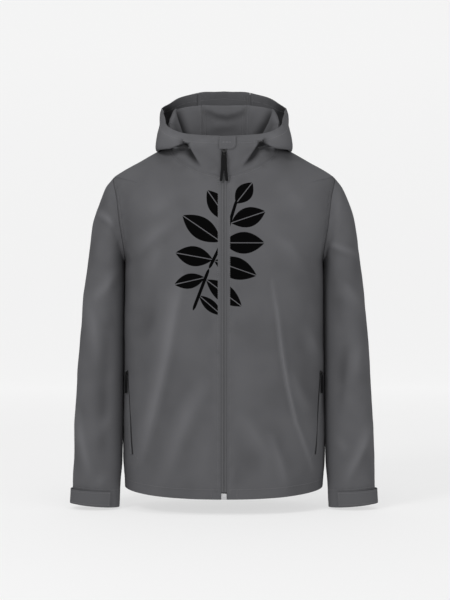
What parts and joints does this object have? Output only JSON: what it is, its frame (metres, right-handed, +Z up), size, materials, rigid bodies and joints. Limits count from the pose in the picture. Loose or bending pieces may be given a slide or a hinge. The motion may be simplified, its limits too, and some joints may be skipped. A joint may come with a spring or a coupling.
{
  "type": "hooded softshell jacket",
  "caption": "Filled-out softshell jacket with a turned-back hood, full front zip, cuff tabs and zipped side pockets, open at neck, hem and cuffs.",
  "frame": {"origin": "middle of the neck opening, level with the neck seam on the shoulders", "axes": "+Z up along the body, the front faces -Y, the wearer's left is at +X"},
  "size_m": [0.6392, 0.3098, 0.8894],
  "materials": {
    "shell_cloth": "matte woven softshell",
    "grey_tape": "matte woven tape",
    "black_tape": "matte woven tape",
    "bare_metal": "satin",
    "black_metal": "satin",
    "pull_plastic": "matte"
  },
  "bodies": {
    "jacket": {"front_right": "shell_cloth", "front_left": "shell_cloth", "back": "shell_cloth", "sleeve_right": "shell_cloth", "sleeve_left": "shell_cloth", "cuff_tab_right": "shell_cloth", "cuff_tab_left": "shell_cloth", "hood_side_right": "shell_cloth", "hood_side_left": "shell_cloth", "hood_centre": "shell_cloth", "zip_tape": "grey_tape", "zip_chain": "grey_tape", "zip_box": "bare_metal", "chin_guard": "shell_cloth", "zip_slider": "black_metal", "pocket_zip_right": "black_tape", "pocket_welt_right": "shell_cloth", "pocket_right_slider": "black_metal", "pocket_zip_left": "black_tape", "pocket_welt_left": "shell_cloth", "pocket_left_slider": "black_metal"},
    "main_pull": {"zip_pull": "pull_plastic"},
    "right_pocket_pull": {"pocket_right_pull": "pull_plastic"},
    "left_pocket_pull": {"pocket_left_pull": "pull_plastic"}
  },
  "joints": [
    {"name": "main_pull_hinge", "type": "hinge", "parent": "jacket", "child": "main_pull", "pos_m": [0, -0.1024, -0.0314], "axis": [-1, 0, 0], "range_deg": [-1, 150]},
    {"name": "right_pocket_pull_hinge", "type": "hinge", "parent": "jacket", "child": "right_pocket_pull", "pos_m": [-0.2019, -0.0596, -0.4811], "axis": [-0.4368, 0.8996, 0], "range_deg": [-1, 10]},
    {"name": "left_pocket_pull_hinge", "type": "hinge", "parent": "jacket", "child": "left_pocket_pull", "pos_m": [0.2019, -0.0596, -0.4811], "axis": [-0.4366, -0.8996, 0], "range_deg": [-1, 10]}
  ]
}
